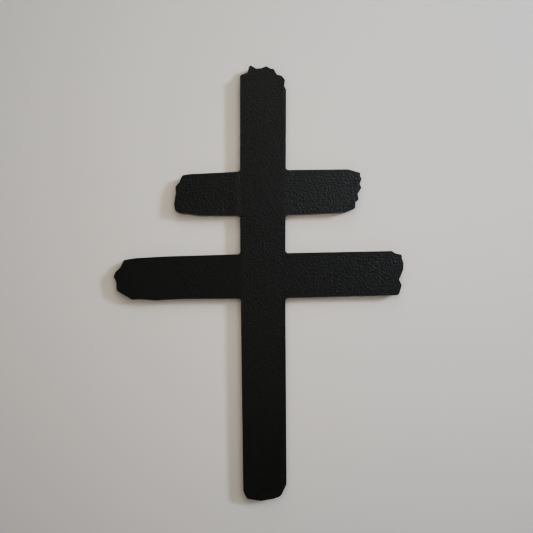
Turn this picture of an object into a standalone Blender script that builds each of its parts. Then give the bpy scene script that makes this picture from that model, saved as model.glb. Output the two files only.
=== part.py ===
"""Double-barred wall cross: one flat board, cut to the outline of three crossing brush strokes.

The board stands upright with its back on the wall plane Y = 0 and its front towards -Y.
The origin is on the back, where the lower arm crosses the upright.
"""

import math
from collections import namedtuple

import bmesh
import bpy
from mathutils import Matrix, Vector

# Board
THICKNESS = 0.010
RIM_ROUND = 0.0005
INNER_CORNER_RADIUS = 0.002

# Upright, measured from the crossing of the lower arm
HEAD_REACH = 0.1454
FOOT_REACH = 0.1553
HEAD_WIDTH = 0.0317
WIDTH_AT_UPPER_ARM = 0.0315
WIDTH_AT_LOWER_ARM = 0.0308
FOOT_WIDTH = 0.0300
FOOT_SHIFT = 0.0014

# Upper arm, measured from its own crossing, which lies this high above the lower one
UPPER_ARM_HEIGHT = 0.0575
UPPER_ARM_RISE = math.radians(1.3)
UPPER_ARM_WIDTH = 0.0310
UPPER_LEFT_REACH = 0.0612
UPPER_LEFT_WIDTH = 0.0270
UPPER_RIGHT_REACH = 0.0680
UPPER_RIGHT_WIDTH = 0.0292

# Lower arm
LOWER_ARM_RISE = math.radians(1.25)
LOWER_ARM_WIDTH = 0.0310
LOWER_LEFT_REACH = 0.1028
LOWER_LEFT_WIDTH = 0.0289
LOWER_RIGHT_REACH = 0.0970
LOWER_RIGHT_WIDTH = 0.0308

# The torn ends of the strokes, each clockwise round the outline as seen from the front.
# A row is one corner: its place across the bar, its distance in from the tip and its
# radius, all as shares of the bar's width at that end.
HEAD_END = (
    (0.003, 0.210, 0.055),
    (0.160, 0.155, 0.030),
    (0.213, -0.019, 0.035),
    (0.350, 0.063, 0.055),
    (0.470, 0.056, 0.055),
    (0.573, 0.010, 0.045),
    (0.657, 0.061, 0.045),
    (0.736, 0.072, 0.040),
    (0.802, 0.193, 0.030),
    (0.900, 0.215, 0.055),
    (0.981, 0.303, 0.045),
    (0.963, 0.442, 0.030),
    (1.005, 0.522, 0.035),
)
UPPER_RIGHT_END = (
    (-0.011, 0.302, 0.190),
    (0.082, 0.005, 0.035),
    (0.143, 0.026, 0.030),
    (0.223, -0.015, 0.038),
    (0.340, 0.037, 0.030),
    (0.430, -0.006, 0.038),
    (0.573, 0.089, 0.035),
    (0.712, 0.066, 0.035),
    (0.769, 0.142, 0.030),
    (0.917, 0.155, 0.045),
    (1.000, 0.391, 0.190),
)
LOWER_RIGHT_END = (
    (0.003, 0.241, 0.055),
    (0.052, 0.179, 0.045),
    (0.089, 0.023, 0.030),
    (0.177, 0.022, 0.045),
    (0.272, -0.014, 0.090),
    (0.418, -0.004, 0.180),
    (0.648, 0.096, 0.030),
    (0.775, 0.038, 0.065),
    (0.996, 0.114, 0.065),
)
FOOT_END = (
    (0.003, 0.384, 0.115),
    (0.135, 0.103, 0.160),
    (0.310, 0.043, 0.140),
    (0.591, -0.002, 0.090),
    (0.911, 0.048, 0.060),
    (0.997, 0.222, 0.140),
)
LOWER_LEFT_END = (
    (-0.003, 1.620, 0.480),
    (-0.023, 0.992, 0.290),
    (0.011, 0.608, 0.190),
    (0.004, 0.415, 0.070),
    (0.230, 0.049, 0.085),
    (0.425, 0.051, 0.050),
    (0.559, -0.011, 0.035),
    (0.681, 0.040, 0.070),
    (0.774, 0.155, 0.035),
    (0.955, 0.241, 0.060),
    (0.994, 0.545, 0.360),
    (1.018, 1.231, 0.960),
)
UPPER_LEFT_END = (
    (-0.030, 0.608, 0.375),
    (0.060, 0.014, 0.115),
    (0.258, -0.012, 0.125),
    (0.557, 0.040, 0.100),
    (0.707, 0.035, 0.040),
    (0.830, 0.140, 0.050),
    (0.994, 0.209, 0.065),
    (1.018, 0.380, 0.250),
)

# Directions in the plane of the front, and how finely curves are drawn
UP, DOWN, LEFT = math.pi / 2, -math.pi / 2, math.pi
ARC_STEP = math.radians(15)
RIM_SEGMENTS = 2
WELD_DISTANCE = 0.00001
FLAT_ANGLE = math.radians(0.1)
SHARP_ANGLE = math.radians(40)

# Matt black paint
PAINT_COLOUR = (0.016, 0.017, 0.016)
PAINT_ROUGHNESS = 0.5

Corner = namedtuple("Corner", "place radius")


def clear_scene():
    for obj in list(bpy.data.objects):
        bpy.data.objects.remove(obj, do_unlink=True)


def collection_named(name):
    collection = bpy.data.collections.new(name)
    bpy.context.scene.collection.children.link(collection)
    return collection


def painted(name, colour, roughness):
    material = bpy.data.materials.new(name)
    material.use_nodes = True
    shader = material.node_tree.nodes["Principled BSDF"]
    shader.inputs["Base Color"].default_value = (*colour, 1.0)
    shader.inputs["Roughness"].default_value = roughness
    shader.inputs["Metallic"].default_value = 0.0
    return material


def limb(crossing, angle, reach, start_width, end_width, end_shape, shift=0.0):
    """The corners of one limb, clockwise: its first edge at the crossing, its torn end and
    its second edge at the crossing. It points outwards at an angle from +X."""
    outwards = Vector((math.cos(angle), math.sin(angle)))
    clockwise = Vector((outwards.y, -outwards.x))
    tip = crossing + outwards * reach + clockwise * shift
    corners = [Corner(crossing - clockwise * start_width / 2, 0.0)]
    for across, inwards, radius in end_shape:
        sideways = clockwise * (across - 0.5) * end_width
        place = tip + sideways - outwards * inwards * end_width
        corners.append(Corner(place, radius * end_width))
    corners.append(Corner(crossing + clockwise * start_width / 2, 0.0))
    return corners


def side(start, end):
    """A straight side of the upright between the two arms"""
    return [Corner(start, 0.0), Corner(end, 0.0)]


def meet(a, b, c, d):
    """Where the line through a and b crosses the line through c and d"""
    first, second = b - a, d - c
    along = (c - a).cross(second) / first.cross(second)
    return a + first * along


def joined(runs):
    """One closed outline from runs of corners, with a rounded inner corner where the
    last edge of a run crosses the first edge of the next"""
    corners = []
    for run, following in zip(runs, runs[1:] + runs[:1]):
        corners += run[1:-1]
        places = [corner.place for corner in run[-2:] + following[:2]]
        corners.append(Corner(meet(*places), INNER_CORNER_RADIUS))
    return corners


def cross_corners():
    lower = Vector((0.0, 0.0))
    upper = Vector((0.0, UPPER_ARM_HEIGHT))
    upper_side = Vector((WIDTH_AT_UPPER_ARM / 2, 0.0))
    lower_side = Vector((WIDTH_AT_LOWER_ARM / 2, 0.0))
    head = limb(
        upper, UP, HEAD_REACH - UPPER_ARM_HEIGHT, WIDTH_AT_UPPER_ARM, HEAD_WIDTH, HEAD_END
    )
    upper_right = limb(
        upper, UPPER_ARM_RISE, UPPER_RIGHT_REACH,
        UPPER_ARM_WIDTH, UPPER_RIGHT_WIDTH, UPPER_RIGHT_END,
    )
    right_side = side(upper + upper_side, lower + lower_side)
    lower_right = limb(
        lower, LOWER_ARM_RISE, LOWER_RIGHT_REACH,
        LOWER_ARM_WIDTH, LOWER_RIGHT_WIDTH, LOWER_RIGHT_END,
    )
    foot = limb(lower, DOWN, FOOT_REACH, WIDTH_AT_LOWER_ARM, FOOT_WIDTH, FOOT_END, -FOOT_SHIFT)
    lower_left = limb(
        lower, LEFT + LOWER_ARM_RISE, LOWER_LEFT_REACH,
        LOWER_ARM_WIDTH, LOWER_LEFT_WIDTH, LOWER_LEFT_END,
    )
    left_side = side(lower - lower_side, upper - upper_side)
    upper_left = limb(
        upper, LEFT + UPPER_ARM_RISE, UPPER_LEFT_REACH,
        UPPER_ARM_WIDTH, UPPER_LEFT_WIDTH, UPPER_LEFT_END,
    )
    return joined(
        [head, upper_right, right_side, lower_right, foot, lower_left, left_side, upper_left]
    )


def arc(before, corner, after):
    """The points that round one corner. Its radius is limited by the shorter edge."""
    back = before.place - corner.place
    onwards = after.place - corner.place
    turn = math.pi - back.angle(onwards)
    slant = math.tan(turn / 2)
    radius = min(corner.radius, min(back.length, onwards.length) / 2 / slant)
    to_centre = (back.normalized() + onwards.normalized()).normalized()
    centre = corner.place + to_centre * radius / math.cos(turn / 2)
    spoke = corner.place + back.normalized() * radius * slant - centre
    hand = math.copysign(1, onwards.cross(back))
    steps = max(1, math.ceil(turn / ARC_STEP))
    return [centre + Matrix.Rotation(hand * turn * i / steps, 2) @ spoke for i in range(steps + 1)]


def rounded(corners):
    points = []
    for i, corner in enumerate(corners):
        points += arc(corners[i - 1], corner, corners[(i + 1) % len(corners)])
    return points


def outline_curve(name, points):
    """A flat filled curve through the points, as thick as the board"""
    curve = bpy.data.curves.new(name, "CURVE")
    curve.dimensions = "2D"
    curve.fill_mode = "BOTH"
    curve.extrude = THICKNESS / 2
    spline = curve.splines.new("POLY")
    spline.points.add(len(points) - 1)
    for spline_point, point in zip(spline.points, points):
        spline_point.co = (point.x, point.y, 0.0, 1.0)
    spline.use_cyclic_u = True
    return bpy.data.objects.new(name, curve)


def closed_mesh(curve_object):
    """The curve's shape as one closed mesh, with its caps welded on and each cap one face"""
    bpy.context.scene.collection.objects.link(curve_object)
    graph = bpy.context.evaluated_depsgraph_get()
    mesh = bpy.data.meshes.new_from_object(curve_object.evaluated_get(graph))
    bpy.data.objects.remove(curve_object)
    shape = bmesh.new()
    shape.from_mesh(mesh)
    bmesh.ops.remove_doubles(shape, verts=shape.verts, dist=WELD_DISTANCE)
    bmesh.ops.dissolve_limit(shape, angle_limit=FLAT_ANGLE, verts=shape.verts, edges=shape.edges)
    shape.to_mesh(mesh)
    shape.free()
    mesh.shade_smooth()
    mesh.set_sharp_from_angle(angle=SHARP_ANGLE)
    return mesh


def board(name, points, material, collection):
    """The board against the wall: the curve's plane is turned upright, its front to -Y"""
    mesh = closed_mesh(outline_curve(name + "_outline", points))
    mesh.materials.append(material)
    obj = bpy.data.objects.new(name, mesh)
    obj.rotation_euler.x = math.pi / 2
    obj.location.y = -THICKNESS / 2
    collection.objects.link(obj)
    return obj


def round_rims(obj):
    bevel = obj.modifiers.new("Rims", "BEVEL")
    bevel.width = RIM_ROUND
    bevel.segments = RIM_SEGMENTS
    bevel.limit_method = "ANGLE"
    bevel.angle_limit = SHARP_ANGLE


def build():
    clear_scene()
    collection = collection_named("wall_cross")
    paint = painted("black_paint", PAINT_COLOUR, PAINT_ROUGHNESS)
    cross = board("cross", rounded(cross_corners()), paint, collection)
    round_rims(cross)


build()
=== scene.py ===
"""Looks of the double-barred wall cross, laid out as an add-on and run as a script.

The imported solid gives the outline, the thickness and the place. The piece made here keeps
them and adds what the roller left on the board: the stipple of the paint, the edges of its
passes and a soft rim.
"""

import math
from collections import namedtuple

import bpy
import numpy as np
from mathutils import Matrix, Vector, noise
from mathutils.geometry import delaunay_2d_cdt
from mathutils.kdtree import KDTree


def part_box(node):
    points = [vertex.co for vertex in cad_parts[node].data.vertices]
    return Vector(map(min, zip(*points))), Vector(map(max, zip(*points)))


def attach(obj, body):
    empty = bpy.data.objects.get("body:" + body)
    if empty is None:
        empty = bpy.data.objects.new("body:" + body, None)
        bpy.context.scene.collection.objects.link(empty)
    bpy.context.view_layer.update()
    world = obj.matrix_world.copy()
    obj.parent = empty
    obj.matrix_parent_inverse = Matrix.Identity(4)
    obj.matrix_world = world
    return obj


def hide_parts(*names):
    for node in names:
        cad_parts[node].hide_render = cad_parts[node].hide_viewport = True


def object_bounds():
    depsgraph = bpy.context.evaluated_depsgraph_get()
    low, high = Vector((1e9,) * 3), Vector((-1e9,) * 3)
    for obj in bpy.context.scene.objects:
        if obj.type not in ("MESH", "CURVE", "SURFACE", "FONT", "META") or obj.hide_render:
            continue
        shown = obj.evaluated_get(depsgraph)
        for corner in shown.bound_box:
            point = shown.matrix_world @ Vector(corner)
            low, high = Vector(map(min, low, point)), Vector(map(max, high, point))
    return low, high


bl_info = {
    "name": "Wall cross",
    "version": (1, 0, 0),
    "blender": (4, 5, 0),
    "location": "View3D > Sidebar > Wall cross",
    "description": "A painted double-barred wall cross and the wall that it hangs on",
    "category": "Object",
}

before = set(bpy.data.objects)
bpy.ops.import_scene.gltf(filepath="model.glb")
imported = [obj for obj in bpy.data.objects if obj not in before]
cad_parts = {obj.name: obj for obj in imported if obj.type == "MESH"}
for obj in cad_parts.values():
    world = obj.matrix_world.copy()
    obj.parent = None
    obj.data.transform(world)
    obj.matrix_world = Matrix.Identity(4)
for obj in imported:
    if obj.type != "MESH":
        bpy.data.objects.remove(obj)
CAD_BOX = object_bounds()
NODE = "cross"
BODY = "root"
MM = 0.001

# Fineness of the mesh
SIDE_RINGS = 4
RIM_STEPS = 4
BACK_PITCH = 2.5 * MM
BACK_MARGIN = 0.6 * MM
SAME_PLACE_DECIMALS = 7
MERGE_DISTANCE = 1e-9
# The kind of triangulation that fills a loop and nothing outside it
FILL_INSIDE = 1
# The points inside a face are shaken off their even rows by this share of their pitch,
# because the rows would show in the stipple
LATTICE_SHAKE = 0.25
SHAKE_SEED = 7

# How strong the stipple of each pass of the roller is, and how much of the paint's sheen it
# kept. The upright's pass changes evenly from its head to its foot.
Pass = namedtuple("Pass", "stipple sheen")
PASSES = {
    "head": Pass(stipple=1.15, sheen=1.04),
    "foot": Pass(stipple=1.2, sheen=0.81),
    "upper_left": Pass(stipple=1.4, sheen=1.08),
    "upper_right": Pass(stipple=1.65, sheen=1.15),
    "lower_left": Pass(stipple=1.0, sheen=0.95),
    "lower_right": Pass(stipple=1.2, sheen=0.98),
}

# Where the passes meet. The upright was rolled last, over both arms.
UPRIGHT_LEFT = -15.1 * MM
UPRIGHT_RIGHT = 13.5 * MM
BETWEEN_ARMS = 28.5 * MM
PASS_BLEND = 1.0 * MM
HEAD_PASS_END = -40.0 * MM
FOOT_PASS_START = -150.0 * MM

# The fat edge that the upright's pass left on the upper left arm
LAP_RISE = 7.0 * MM
LAP_FALL = 3.5 * MM

# The stipple is two layers of noise, each taken at its own height in the noise. The second is
# finer and weaker than the first.
FIRST_LAYER = 0.0
FINE_LAYER = 7.0
FINE_SHARE = 0.5
FINE_RATIO = 1.7
STIPPLE_TOP = 1.0

# The grain is drawn coarser and higher than a real film's, so that it shows in the picture
GRAIN_DETAIL = 2.0
GRAIN_ROUGHNESS = 0.6

# The shader's level for the shine of a full varnish
VARNISH_SHINE = 0.5

# The stage
WALL_GAP = 0.4 * MM
WALL_WIDTH = 6.0
WALL_HEIGHT = 4.0
FLOOR_DROP = 0.3
FLOOR_SIZE = 12.0
EMULSION_ROUGHNESS = 0.9
EMULSION_SHEEN = 0.2
CAMERA_NEAR = 10.0 * MM
# A ray that meets the wall within this run came from the back of the cross
BACK_RUN = 0.9 * MM
# How far a direction leans backwards before the room has its full brightness there
BEHIND_WALL = 0.3

# Soft lights round the cross. Azimuth counts from straight in front towards the right,
# elevation from level upwards, both in degrees, as is the spread of the light. Distances and
# sizes are in metres, powers in watts. A light is turned to a place level with the lower
# crossing, which may lie to the side of it. The fill light has no sheen of its own: it only
# softens the shadows. The wash light only reaches the wall to the left of the cross.
Lamp = namedtuple("Lamp", "azimuth elevation distance size power colour side spread", defaults=(0, 180))
LAMPS = {
    "key_light": Lamp(48.7, 17.6, 0.96, 0.15, 3.75, "#dfe9ff"),
    "right_light": Lamp(30, 8, 0.7, 0.3, 0.4, "#ffffff"),
    "top_light": Lamp(0, 45, 0.7, 0.35, 0.7, "#fffff4"),
    "left_light": Lamp(-30, 4, 0.7, 0.3, 0.21, "#ffffff"),
    "low_light": Lamp(0, -32, 0.7, 0.35, 0.34, "#fff4f4"),
    "front_light": Lamp(0, 8, 0.7, 0.3, 0.22, "#ffffff"),
    "fill_light": Lamp(3, 8, 0.36, 0.2, 0.36, "#ffedd6"),
    "wash_light": Lamp(0, 0, 1.0, 0.5, 0.8, "#fffcf4", side=-1.0, spread=70),
    "back_light": Lamp(200, 40, 1.6, 1.2, 5.0, "#ffffff"),
}
FILL = "fill_light"


def linear(hex_colour):
    """An sRGB hex colour as linear red, green, blue and alpha"""
    channels = [int(hex_colour[i : i + 2], 16) / 255 for i in (1, 3, 5)]
    return (*[c / 12.92 if c <= 0.04045 else ((c + 0.055) / 1.055) ** 2.4 for c in channels], 1.0)


class PaintSettings(bpy.types.PropertyGroup):
    """The paint film of the cross"""

    colour: bpy.props.FloatVectorProperty(
        name="Colour",
        description="Colour of the black paint",
        default=linear("#191c17"),
        size=4,
        subtype="COLOR",
    )
    roughness: bpy.props.FloatProperty(
        name="Roughness",
        description="How matt the film is between its stipple",
        default=0.4,
        min=0.0,
        max=1.0,
        subtype="FACTOR",
    )
    sheen: bpy.props.FloatProperty(
        name="Sheen",
        description="Share of a full varnish's shine that the matt film keeps",
        default=1.0,
        min=0.0,
        max=1.0,
        subtype="FACTOR",
    )
    stipple_size: bpy.props.FloatProperty(
        name="Stipple size",
        description="Distance between neighbouring tops of the stipple",
        default=0.9 * MM,
        unit="LENGTH",
    )
    stipple_depth: bpy.props.FloatProperty(
        name="Stipple depth",
        description="Height of the highest tops over the deepest hollows, at a strength of 1",
        default=0.42 * MM,
        unit="LENGTH",
    )
    grain_size: bpy.props.FloatProperty(
        name="Grain size",
        description="Distance between the grains in the film",
        default=0.8 * MM,
        unit="LENGTH",
    )
    grain_depth: bpy.props.FloatProperty(
        name="Grain depth",
        description="Height of the grains in the film",
        default=0.22 * MM,
        unit="LENGTH",
    )
    lap_height: bpy.props.FloatProperty(
        name="Lap height",
        description="Height of the fat edge that the roller left beside the upright",
        default=0.18 * MM,
        unit="LENGTH",
    )
    mesh_pitch: bpy.props.FloatProperty(
        name="Mesh pitch",
        description="Distance between the points of the front face",
        default=0.62 * MM,
        unit="LENGTH",
    )


class StageSettings(bpy.types.PropertyGroup):
    """The wall, the floor, the light and the camera"""

    wall_colour: bpy.props.FloatVectorProperty(
        name="Wall colour",
        description="Colour of the wall and the floor",
        default=linear("#e1dfd9"),
        size=4,
        subtype="COLOR",
    )
    camera_distance: bpy.props.FloatProperty(
        name="Camera distance",
        description="From the camera to the front face",
        default=394.5 * MM,
        unit="LENGTH",
    )
    camera_angle: bpy.props.FloatProperty(
        name="Camera angle",
        description="Angle of view across the picture",
        default=math.radians(50),
        subtype="ANGLE",
    )
    camera_right: bpy.props.FloatProperty(
        name="Camera to the right",
        description="From the middle of the upright to the middle of the picture",
        default=2.5 * MM,
        unit="LENGTH",
    )
    camera_up: bpy.props.FloatProperty(
        name="Camera up",
        description="From the lower crossing to the middle of the picture",
        default=6.6 * MM,
        unit="LENGTH",
    )
    light_level: bpy.props.FloatProperty(
        name="Light level",
        description="Factor on the power of every light",
        default=1.03,
        min=0.0,
    )
    room_light: bpy.props.FloatProperty(
        name="Room light",
        description="Brightness of the room behind the wall",
        default=1.1,
        min=0.0,
    )
    room_shown: bpy.props.FloatProperty(
        name="Room shown",
        description="Brightness of the room where the camera looks past the wall",
        default=0.55,
        min=0.0,
    )


def add_node(tree, kind, inputs=None, **settings):
    """Adds a node. An input is a value, or another node's output socket to link."""
    node = tree.nodes.new(kind)
    for name, value in settings.items():
        setattr(node, name, value)
    for name, value in (inputs or {}).items():
        if isinstance(value, bpy.types.NodeSocket):
            tree.links.new(value, node.inputs[name])
        else:
            node.inputs[name].default_value = value
    return node


def new_material(name):
    """An empty material, its node tree and its output"""
    material = bpy.data.materials.new(name)
    material.use_nodes = True
    material.node_tree.nodes.clear()
    output = add_node(material.node_tree, "ShaderNodeOutputMaterial")
    return material, material.node_tree, output


def rolled_matt_paint(paint):
    """Matt black acrylic wood paint, put on with a short-pile roller.

    The eye sees a deep, nearly neutral black. Its stipple glints where the light from the
    right slides over it, and each pass of the roller dried a little duller or shinier."""
    material, tree, output = new_material("rolled_matt_black_acrylic")
    place = add_node(tree, "ShaderNodeTexCoord").outputs["Object"]
    stipple, sheen = (
        add_node(tree, "ShaderNodeAttribute", attribute_name=field).outputs["Fac"]
        for field in Pass._fields
    )
    grain = add_node(
        tree, "ShaderNodeTexNoise",
        {
            "Vector": place,
            "Scale": 1 / paint.grain_size,
            "Detail": GRAIN_DETAIL,
            "Roughness": GRAIN_ROUGHNESS,
        },
    ).outputs["Fac"]
    height = add_node(
        tree, "ShaderNodeMath", {0: grain, 1: stipple}, operation="MULTIPLY"
    ).outputs["Value"]
    bump = add_node(
        tree, "ShaderNodeBump",
        {"Strength": 1.0, "Distance": paint.grain_depth, "Height": height},
    ).outputs["Normal"]
    shine = add_node(
        tree, "ShaderNodeMath", {0: sheen, 1: paint.sheen * VARNISH_SHINE}, operation="MULTIPLY"
    ).outputs["Value"]
    shader = add_node(
        tree, "ShaderNodeBsdfPrincipled",
        {
            "Base Color": paint.colour,
            "Roughness": paint.roughness,
            "Specular IOR Level": shine,
            "Normal": bump,
        },
    )
    tree.links.new(shader.outputs["BSDF"], output.inputs["Surface"])
    return material


def outline_of(node):
    """The outline of the node's side wall, anticlockwise as seen from the front, as rows of
    x and z, and the radius of its rims"""
    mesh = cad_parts[node].data
    points = np.array([v.co for v in mesh.vertices])
    keys = [tuple(row) for row in np.round(points, SAME_PLACE_DECIMALS).tolist()]
    levels = sorted({key[1] for key in keys})
    gaps = [b - a for a, b in zip(levels, levels[1:])]
    wall_start = levels[gaps.index(max(gaps))]
    neighbours = {}
    for polygon in mesh.polygons:
        corners = [keys[i] for i in polygon.vertices]
        for a, b in zip(corners, corners[1:] + corners[:1]):
            if a != b and a[1] == b[1] == wall_start:
                neighbours.setdefault(a, set()).add(b)
                neighbours.setdefault(b, set()).add(a)
    start = min(neighbours)
    loop = [start, min(neighbours[start])]
    while True:
        onwards = neighbours[loop[-1]] - {loop[-2]}
        if start in onwards:
            break
        loop.append(onwards.pop())
    outline = np.array(loop)[:, [0, 2]]
    following = np.roll(outline, -1, axis=0)
    if np.sum(outline[:, 0] * following[:, 1] - following[:, 0] * outline[:, 1]) < 0:
        outline = outline[::-1]
    return outline, wall_start - levels[0]


def divided(outline, pitch):
    """The outline with its edges divided, and the direction inwards at each of its points"""
    following = np.roll(outline, -1, axis=0)
    points = []
    for start, end in zip(outline, following):
        count = max(1, round(float(np.hypot(*(end - start))) / pitch))
        points += [start + (end - start) * i / count for i in range(count)]
    points = np.array(points)
    edges = np.roll(points, -1, axis=0) - points
    lefts = np.stack([-edges[:, 1], edges[:, 0]], axis=1) / np.hypot(*edges.T)[:, None]
    inwards = lefts + np.roll(lefts, 1, axis=0)
    return points, inwards * 2 / np.sum(inwards**2, axis=1)[:, None]


def inside_points(loop, pitch, margin):
    """A lattice of points inside a loop, each shaken off its place by a share of the pitch and
    no nearer to the loop than the margin"""
    tree = KDTree(len(loop))
    for i, (x, z) in enumerate(loop):
        tree.insert((x, z, 0), i)
    tree.balance()
    following = np.roll(loop, -1, axis=0)
    low, high = loop.min(0), loop.max(0)
    row_height = pitch * math.sqrt(3) / 2
    found = []
    for row, z in enumerate(np.arange(low[1] + pitch / 2, high[1], row_height)):
        crossed = (loop[:, 1] > z) != (following[:, 1] > z)
        a, b = loop[crossed], following[crossed]
        cuts = np.sort(a[:, 0] + (z - a[:, 1]) / (b[:, 1] - a[:, 1]) * (b[:, 0] - a[:, 0]))
        shift = pitch / 2 * (row % 2)
        for left, right in zip(cuts[::2], cuts[1::2]):
            first = math.ceil((left - low[0] - shift) / pitch)
            last = math.floor((right - low[0] - shift) / pitch)
            found += [(low[0] + shift + i * pitch, z) for i in range(first, last + 1)]
    random = np.random.default_rng(SHAKE_SEED)
    shake = random.uniform(-LATTICE_SHAKE, LATTICE_SHAKE, (len(found), 2))
    shaken = (np.array(found) + shake * pitch).tolist()
    return [(x, z) for x, z in shaken if tree.find((x, z, 0))[2] > margin]


def filled(loop, pitch, margin):
    """Triangles that fill a loop: the points added inside it, and rows of indexes into the
    loop's points followed by the added ones"""
    added = inside_points(loop, pitch, margin)
    points = [Vector(p) for p in [*loop.tolist(), *added]]
    edges = [(i, (i + 1) % len(loop)) for i in range(len(loop))]
    made, _, faces, sources, _, _ = delaunay_2d_cdt(points, edges, [], FILL_INSIDE, MERGE_DISTANCE)
    if len(made) != len(points):
        raise RuntimeError("the outline crosses itself")
    first = [source[0] for source in sources]
    return np.array(added), [tuple(first[i] for i in face) for face in faces]


def step(value, middle, width):
    """0 before the middle, 1 after it, with a soft change of that width"""
    t = np.clip((value - middle) / width + 0.5, 0, 1)
    return t * t * (3 - 2 * t)


def by_pass(x, z, field):
    """One value of the roller's passes at each point of the front"""
    value = {name: getattr(one, field) for name, one in PASSES.items()}
    length = HEAD_PASS_END - FOOT_PASS_START
    towards_head = step(z, FOOT_PASS_START + length / 2, length)
    upright = value["foot"] + (value["head"] - value["foot"]) * towards_head
    upper = step(z, BETWEEN_ARMS, PASS_BLEND)
    left = value["lower_left"] + (value["upper_left"] - value["lower_left"]) * upper
    right = value["lower_right"] + (value["upper_right"] - value["lower_right"]) * upper
    on_left = 1 - step(x, UPRIGHT_LEFT, PASS_BLEND)
    on_right = step(x, UPRIGHT_RIGHT, PASS_BLEND)
    return upright + (left - upright) * on_left + (right - upright) * on_right


def layer(x, z, size, height):
    """Smooth noise between -1 and 1 at each point of the front"""
    places = zip((x / size).tolist(), (z / size).tolist())
    return np.array([noise.noise(Vector((a, b, height))) for a, b in places])


def film_depth(x, z, paint):
    """How far the film lies below its highest top at each point of the front"""
    waves = layer(x, z, paint.stipple_size, FIRST_LAYER)
    waves += FINE_SHARE * layer(x, z, paint.stipple_size / FINE_RATIO, FINE_LAYER)
    stipple = np.clip(waves, -STIPPLE_TOP, STIPPLE_TOP) * by_pass(x, z, "stipple")
    highest = STIPPLE_TOP * max(one.stipple for one in PASSES.values())
    crest = UPRIGHT_LEFT - LAP_FALL
    lap = step(x, crest - LAP_RISE / 2, LAP_RISE) - step(x, crest + LAP_FALL / 2, LAP_FALL)
    lap = lap * step(z, BETWEEN_ARMS, PASS_BLEND)
    return paint.stipple_depth / 2 * (highest - stipple) + paint.lap_height * (1 - lap)


def ring_profile(back, front, radius):
    """The rings round the board, from its back to its front. A row is one ring: how far it is
    set in from the outline, its y, and the share of the film's relief that it takes."""
    turns = [math.pi / 2 * i / RIM_STEPS for i in range(RIM_STEPS + 1)]
    insets = [radius * (1 - math.cos(turn)) for turn in turns]
    drops = [radius * (1 - math.sin(turn)) for turn in turns]
    back_rim = [(inset, back - drop, 0.0) for inset, drop in zip(insets, drops)][::-1]
    front_rim = [
        (inset, front + drop, math.sin(turn)) for inset, drop, turn in zip(insets, drops, turns)
    ]
    start, end = back - radius, front + radius
    sides = [(0.0, start + (end - start) * i / SIDE_RINGS, 0.0) for i in range(1, SIDE_RINGS)]
    return back_rim + sides + front_rim


def placed(flat, y, relief):
    """Rows of x, y, z and the share of the relief, for flat points at one depth"""
    count = len(flat)
    return np.stack([flat[:, 0], np.full(count, y), flat[:, 1], np.full(count, relief)], axis=1)


def renumbered(triangle, count, ring_start, added_start):
    """A triangle's indexes in the whole mesh. Those below the count are points of its ring, and
    the others are points added inside it."""
    return tuple(ring_start + i if i < count else added_start + i - count for i in triangle)


def cross_mesh(paint):
    """The painted board: rings round the outline from the back to the front, and both faces
    filled inside their rings"""
    outline, radius = outline_of(NODE)
    low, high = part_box(NODE)
    points, inwards = divided(outline, paint.mesh_pitch)
    count = len(points)
    rings = ring_profile(high.y, low.y, radius)
    rows = [placed(points + inwards * inset, y, relief) for inset, y, relief in rings]
    faces = []
    for k in range(len(rings) - 1):
        for i in range(count):
            j = (i + 1) % count
            faces.append((k * count + i, k * count + j, (k + 1) * count + j, (k + 1) * count + i))

    front_ring, front_start = (len(rings) - 1) * count, len(rings) * count
    added, triangles = filled(rows[-1][:, [0, 2]], paint.mesh_pitch, paint.mesh_pitch / 2)
    faces += [renumbered(triangle, count, front_ring, front_start) for triangle in triangles]
    front = placed(added, low.y, 1.0)

    back_start = front_start + len(added)
    added, triangles = filled(rows[0][:, [0, 2]], BACK_PITCH, BACK_MARGIN)
    faces += [renumbered(triangle[::-1], count, 0, back_start) for triangle in triangles]
    back = placed(added, high.y, 0.0)

    x, y, z, relief = np.concatenate([*rows, front, back]).T
    y = y + relief * film_depth(x, z, paint)
    mesh = bpy.data.meshes.new("painted_cross")
    mesh.from_pydata(np.stack([x, y, z], axis=1).tolist(), [], faces)
    mesh.update()
    mesh.shade_smooth()
    for field in Pass._fields:
        values = mesh.attributes.new(field, "FLOAT", "POINT")
        values.data.foreach_set("value", by_pass(x, z, field).astype(np.float32))
    return mesh


class WALLCROSS_OT_cross(bpy.types.Operator):
    """Make the painted board of the cross"""

    bl_idname = "wallcross.cross"
    bl_label = "Cross"

    def execute(self, context):
        paint = context.scene.wall_cross_paint
        cross = bpy.data.objects.new("painted_cross", cross_mesh(paint))
        cross.data.materials.append(rolled_matt_paint(paint))
        context.scene.collection.objects.link(cross)
        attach(cross, BODY)
        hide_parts(NODE)
        return {"FINISHED"}


def pale_emulsion(name, colour, one_sided):
    """Pale emulsion: even and without shine. On the wall it shows from the front alone, and
    not to the back of the cross, so that the back can be looked at in the room's light."""
    material, tree, output = new_material(name)
    surface = add_node(
        tree, "ShaderNodeBsdfPrincipled",
        {
            "Base Color": colour,
            "Roughness": EMULSION_ROUGHNESS,
            "Specular IOR Level": EMULSION_SHEEN,
        },
    ).outputs["BSDF"]
    if one_sided:
        clear = add_node(tree, "ShaderNodeBsdfTransparent").outputs["BSDF"]
        behind = add_node(tree, "ShaderNodeNewGeometry").outputs["Backfacing"]
        run = add_node(tree, "ShaderNodeLightPath").outputs["Ray Length"]
        near = add_node(
            tree, "ShaderNodeMath", {0: run, 1: BACK_RUN}, operation="LESS_THAN"
        ).outputs["Value"]
        hidden = add_node(
            tree, "ShaderNodeMath", {0: behind, 1: near}, operation="MAXIMUM"
        ).outputs["Value"]
        surface = add_node(
            tree, "ShaderNodeMixShader", {0: hidden, 1: surface, 2: clear}
        ).outputs["Shader"]
    tree.links.new(surface, output.inputs["Surface"])
    return material


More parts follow.
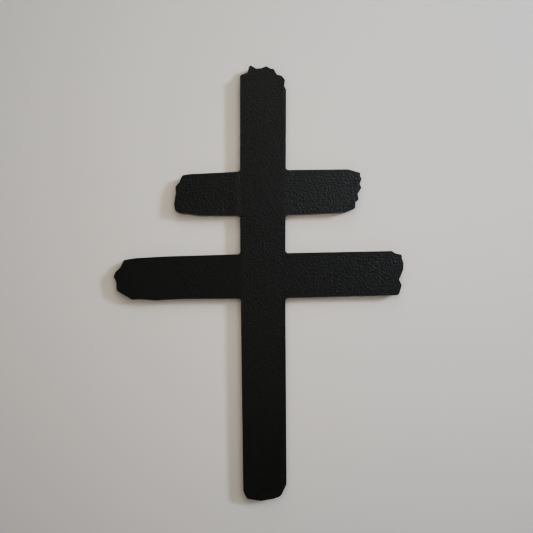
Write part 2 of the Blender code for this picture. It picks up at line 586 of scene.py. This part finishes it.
def flat_sheet(name, corners, material, unseen_by):
    """A sheet of the stage. The kinds of rays that it is unseen by pass through it."""
    mesh = bpy.data.meshes.new(name)
    mesh.from_pydata(corners, [], [(0, 1, 2, 3)])
    mesh.materials.append(material)
    sheet = bpy.data.objects.new(name, mesh)
    for ray in unseen_by:
        setattr(sheet, "visible_" + ray, False)
    bpy.context.scene.collection.objects.link(sheet)


def wall_sheet(y, floor_z, colour):
    """The wall, standing on the floor with its front to -Y. It lets the room's light through, to
    the floor and to the back of the cross."""
    reach, top = WALL_WIDTH / 2, floor_z + WALL_HEIGHT
    corners = [(-reach, y, floor_z), (reach, y, floor_z), (reach, y, top), (-reach, y, top)]
    material = pale_emulsion("pale_emulsion_wall", colour, one_sided=True)
    flat_sheet("wall", corners, material, ["shadow", "diffuse"])


def floor_sheet(z, colour):
    """The floor. It only catches light: it gives none back to the cross and shades nothing."""
    reach = FLOOR_SIZE / 2
    corners = [(-reach, -reach, z), (reach, -reach, z), (reach, reach, z), (-reach, reach, z)]
    material = pale_emulsion("pale_emulsion_floor", colour, one_sided=False)
    flat_sheet("floor", corners, material, ["shadow", "diffuse", "glossy"])


def soft_light(name, lamp, level):
    """A square light, turned to a place level with the lower crossing"""
    turn, rise = math.radians(lamp.azimuth), math.radians(lamp.elevation)
    aim = Vector((math.sin(turn) * math.cos(rise), -math.cos(turn) * math.cos(rise), math.sin(rise)))
    data = bpy.data.lights.new(name, "AREA")
    data.shape = "SQUARE"
    data.size = lamp.size
    data.energy = lamp.power * level
    data.color = linear(lamp.colour)[:3]
    data.spread = math.radians(lamp.spread)
    light = bpy.data.objects.new(name, data)
    light.location = Vector((lamp.side, 0, 0)) + aim * lamp.distance
    light.rotation_euler = (-aim).to_track_quat("-Z", "Y").to_euler()
    light.visible_camera = False
    light.visible_glossy = name != FILL
    bpy.context.scene.collection.objects.link(light)


def room(stage):
    """The room all round. It lights from behind the wall alone, for the floor and the back of
    the cross, and is pale where the camera sees past the wall."""
    world = bpy.data.worlds.new("room")
    world.use_nodes = True
    tree = world.node_tree
    tree.nodes.clear()
    output = add_node(tree, "ShaderNodeOutputWorld")
    seen = add_node(tree, "ShaderNodeLightPath").outputs["Is Camera Ray"]
    direction = add_node(tree, "ShaderNodeTexCoord").outputs["Generated"]
    backwards = add_node(tree, "ShaderNodeSeparateXYZ", {"Vector": direction}).outputs["Y"]
    behind = add_node(
        tree, "ShaderNodeMapRange",
        {"Value": backwards, "From Max": BEHIND_WALL, "To Max": stage.room_light},
    ).outputs["Result"]
    strength = add_node(
        tree, "ShaderNodeMix", {"Factor": seen, "A": behind, "B": stage.room_shown}
    ).outputs["Result"]
    light = add_node(
        tree, "ShaderNodeBackground", {"Color": stage.wall_colour, "Strength": strength}
    )
    tree.links.new(light.outputs["Background"], output.inputs["Surface"])
    return world


def front_camera(stage, front):
    """The camera straight in front of the cross, as the photograph was taken"""
    data = bpy.data.cameras.new("camera")
    data.angle = stage.camera_angle
    data.clip_start = CAMERA_NEAR
    camera = bpy.data.objects.new("camera", data)
    camera.location = (stage.camera_right, front - stage.camera_distance, stage.camera_up)
    camera.rotation_euler = (math.pi / 2, 0, 0)
    bpy.context.scene.collection.objects.link(camera)
    return camera


class WALLCROSS_OT_stage(bpy.types.Operator):
    """Make the wall, the floor, the lights and the camera"""

    bl_idname = "wallcross.stage"
    bl_label = "Stage"

    def execute(self, context):
        scene = context.scene
        stage = scene.wall_cross_stage
        low, high = CAD_BOX
        floor_z = low.z - FLOOR_DROP
        wall_sheet(high.y + WALL_GAP, floor_z, stage.wall_colour)
        floor_sheet(floor_z, stage.wall_colour)
        for name, lamp in LAMPS.items():
            soft_light(name, lamp, stage.light_level)
        scene.world = room(stage)
        scene.camera = front_camera(stage, low.y)
        scene.view_settings.view_transform = "AgX"
        scene.view_settings.look = "AgX - High Contrast"
        return {"FINISHED"}


class WALLCROSS_PT_panel(bpy.types.Panel):
    """Lists the pieces and their settings"""

    bl_idname = "WALLCROSS_PT_panel"
    bl_label = "Wall cross"
    bl_space_type = "VIEW_3D"
    bl_region_type = "UI"
    bl_category = "Wall cross"

    def draw(self, context):
        for settings, operator in (
            (context.scene.wall_cross_paint, WALLCROSS_OT_cross),
            (context.scene.wall_cross_stage, WALLCROSS_OT_stage),
        ):
            box = self.layout.box()
            for name in settings.__annotations__:
                box.prop(settings, name)
            box.operator(operator.bl_idname)


CLASSES = (PaintSettings, StageSettings, WALLCROSS_OT_cross, WALLCROSS_OT_stage, WALLCROSS_PT_panel)


def register():
    for cls in CLASSES:
        bpy.utils.register_class(cls)
    bpy.types.Scene.wall_cross_paint = bpy.props.PointerProperty(type=PaintSettings)
    bpy.types.Scene.wall_cross_stage = bpy.props.PointerProperty(type=StageSettings)


def unregister():
    del bpy.types.Scene.wall_cross_stage
    del bpy.types.Scene.wall_cross_paint
    for cls in reversed(CLASSES):
        bpy.utils.unregister_class(cls)


def main():
    register()
    bpy.ops.wallcross.cross()
    bpy.ops.wallcross.stage()


if __name__ == "__main__":
    main()
